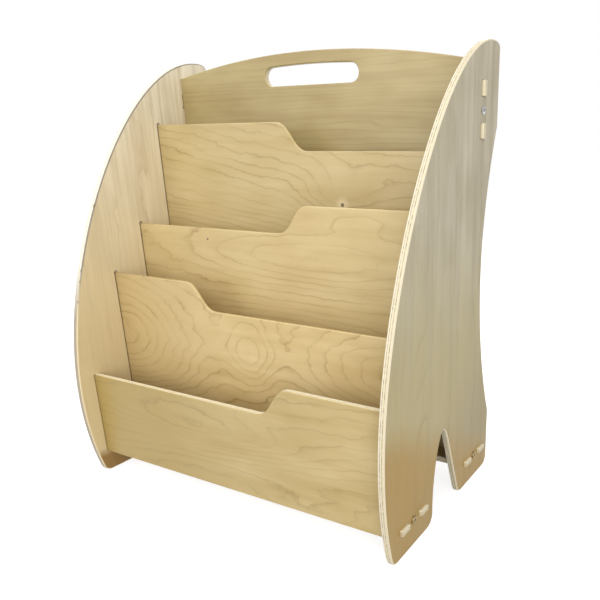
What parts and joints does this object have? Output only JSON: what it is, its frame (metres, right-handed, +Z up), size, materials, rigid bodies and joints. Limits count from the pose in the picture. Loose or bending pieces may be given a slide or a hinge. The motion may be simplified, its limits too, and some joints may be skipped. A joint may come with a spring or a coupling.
{
  "type": "picture book browser bin",
  "caption": "Knock-down plywood browser bin with tiered pockets, S-stepped dividers, an arched back with a hand slot and curved sides locked by through-tenons and connector bolts",
  "frame": {"origin": "centre of the footprint on the floor, under the middle of the bin", "axes": "+X to the right end as a person faces the front, +Y from the front panel to the back panel, +Z up"},
  "size_m": [0.71, 0.428, 0.814],
  "materials": {
    "side_plywood": "satin clear lacquer on pale birch-faced plywood",
    "panel_plywood": "satin clear lacquer on golden flat-sawn veneer",
    "board_plywood": "satin clear lacquer on birch-faced plywood",
    "bolt_chrome": "bright plated",
    "nut_zinc": "zinc plated"
  },
  "bodies": {
    "root": {"left_side_panel": "side_plywood", "right_side_panel": "side_plywood", "front_panel": "panel_plywood", "front_divider": "panel_plywood", "middle_divider": "panel_plywood", "rear_divider": "panel_plywood", "second_pocket_floor": "board_plywood", "third_pocket_floor": "board_plywood", "rear_pocket_floor": "board_plywood", "back_panel": "panel_plywood", "front_bottom_board": "board_plywood", "rear_bottom_board": "board_plywood", "left_front_board_bolt": "bolt_chrome", "left_front_board_barrel_nut": "nut_zinc", "right_front_board_bolt": "bolt_chrome", "right_front_board_barrel_nut": "nut_zinc", "left_rear_board_bolt": "bolt_chrome", "left_rear_board_barrel_nut": "nut_zinc", "right_rear_board_bolt": "bolt_chrome", "right_rear_board_barrel_nut": "nut_zinc", "left_back_panel_bolt": "bolt_chrome", "left_back_panel_barrel_nut": "nut_zinc", "right_back_panel_bolt": "bolt_chrome", "right_back_panel_barrel_nut": "nut_zinc"}
  },
  "joints": []
}
